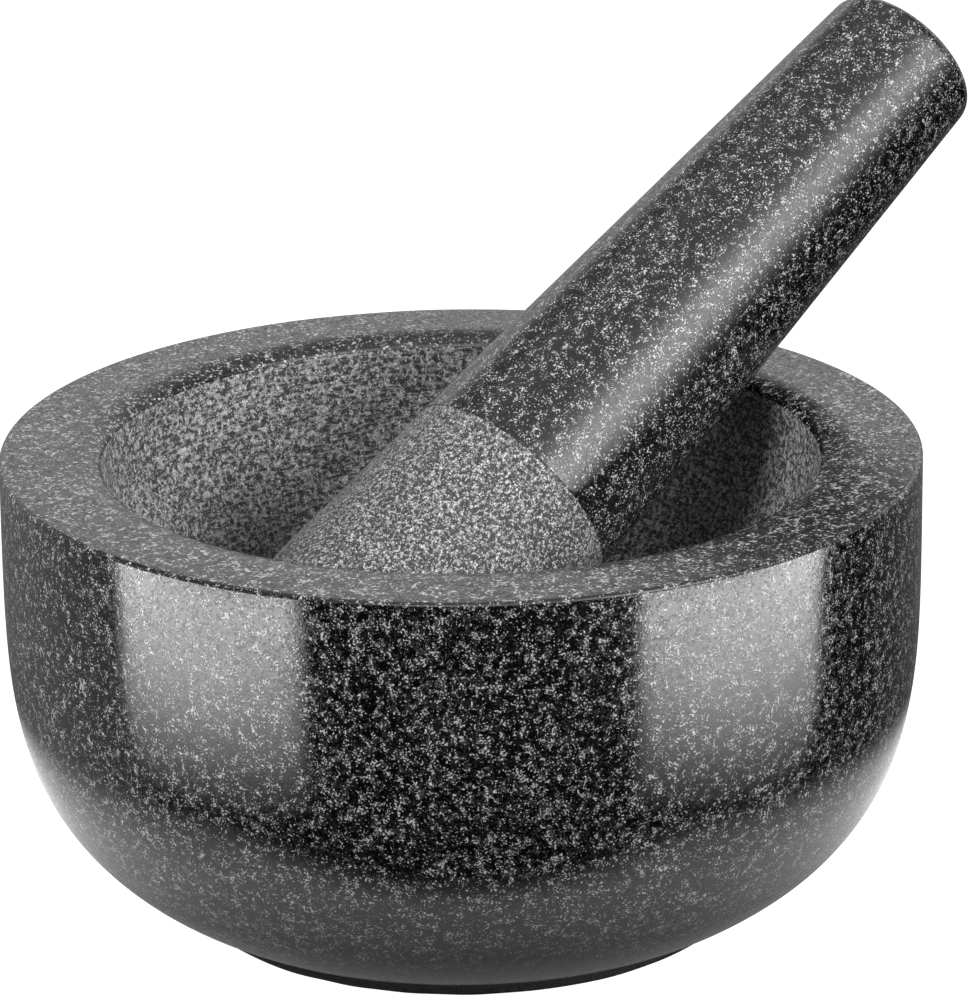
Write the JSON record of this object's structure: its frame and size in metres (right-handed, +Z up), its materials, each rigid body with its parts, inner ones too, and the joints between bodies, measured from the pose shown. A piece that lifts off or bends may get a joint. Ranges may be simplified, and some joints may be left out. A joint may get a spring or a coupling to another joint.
{
  "type": "granite mortar and pestle",
  "caption": "Round granite mortar with a honed bowl and a loose granite pestle that leans on its lip, on a thin non-slip pad.",
  "frame": {"origin": "centre of the underside of the non-slip pad, on the surface that the mortar stands on and on the mortar's own axis", "axes": "+Z up along the mortar's axis; +X the way the pestle leans, so the pestle's axis lies in the XZ plane"},
  "size_m": [0.1841, 0.15, 0.1353],
  "materials": {
    "mortar_granite": "polished black granite with fine pale grains; the bowl is honed and lighter",
    "pestle_granite": "polished black granite shaft with a honed, lighter grey head",
    "pad_foam": "matt black closed-cell foam rubber"
  },
  "bodies": {
    "mortar": {"mortar": "mortar_granite", "base_pad": "pad_foam"},
    "pestle": {"pestle": "pestle_granite"}
  },
  "joints": [
    {"name": "pestle_lift", "type": "slide", "parent": "mortar", "child": "pestle", "axis": [0.821, 0, 0.571], "range_m": [0, 0.15]}
  ]
}
